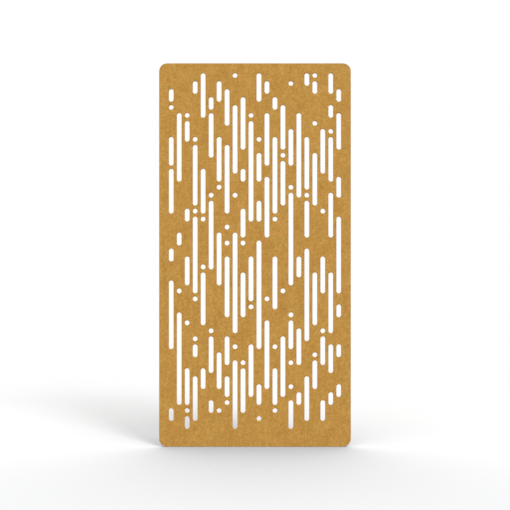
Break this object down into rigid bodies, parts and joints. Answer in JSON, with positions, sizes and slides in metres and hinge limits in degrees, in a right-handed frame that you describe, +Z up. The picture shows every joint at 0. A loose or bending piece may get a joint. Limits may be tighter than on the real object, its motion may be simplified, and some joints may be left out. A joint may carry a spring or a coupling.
{
  "type": "hanging acoustic screen",
  "caption": "Tall flat felt screen with rounded corners, pierced by round dots and upright round-ended slots on a grid; it hangs on wires from release grippers hidden in its top edge.",
  "frame": {"origin": "middle of the top edge, halfway between the two hanging wires and in the sheet's middle plane", "axes": "+X across the screen to the viewer's right, +Y through the sheet away from the viewer, +Z up along the wires"},
  "size_m": [1.2, 0.012, 2.4015],
  "materials": {
    "felt": "matte",
    "stainless_plate": "satin",
    "zinc_screw": "satin",
    "aluminium_sleeve": "satin",
    "nickelled_brass": "polished",
    "ball_steel": "polished",
    "spring_steel": "satin",
    "plain_brass": "satin"
  },
  "bodies": {
    "screen": {"felt_sheet": "felt", "edge_plate_left": "stainless_plate", "edge_plate_right": "stainless_plate", "plate_screws": "zinc_screw", "anchor_sleeve_left": "aluminium_sleeve", "anchor_sleeve_right": "aluminium_sleeve", "gripper_barrel_left": "nickelled_brass", "gripper_barrel_right": "nickelled_brass", "return_spring_left": "spring_steel", "return_spring_right": "spring_steel", "barrel_cap_left": "plain_brass", "barrel_cap_right": "plain_brass"},
    "nozzle_left": {"release_nozzle_left": "nickelled_brass", "gripper_balls_left": "ball_steel"},
    "nozzle_right": {"release_nozzle_right": "nickelled_brass", "gripper_balls_right": "ball_steel"}
  },
  "joints": [
    {"name": "press_left", "type": "slide", "parent": "screen", "child": "nozzle_left", "axis": [0, 0, -1], "range_m": [0, 0.0015], "stiffness_N_per_m": 900, "springref_m": -0.0015, "deforming": ["return_spring_left"]},
    {"name": "press_right", "type": "slide", "parent": "screen", "child": "nozzle_right", "axis": [0, 0, -1], "range_m": [0, 0.0015], "stiffness_N_per_m": 900, "springref_m": -0.0015, "deforming": ["return_spring_right"]}
  ]
}
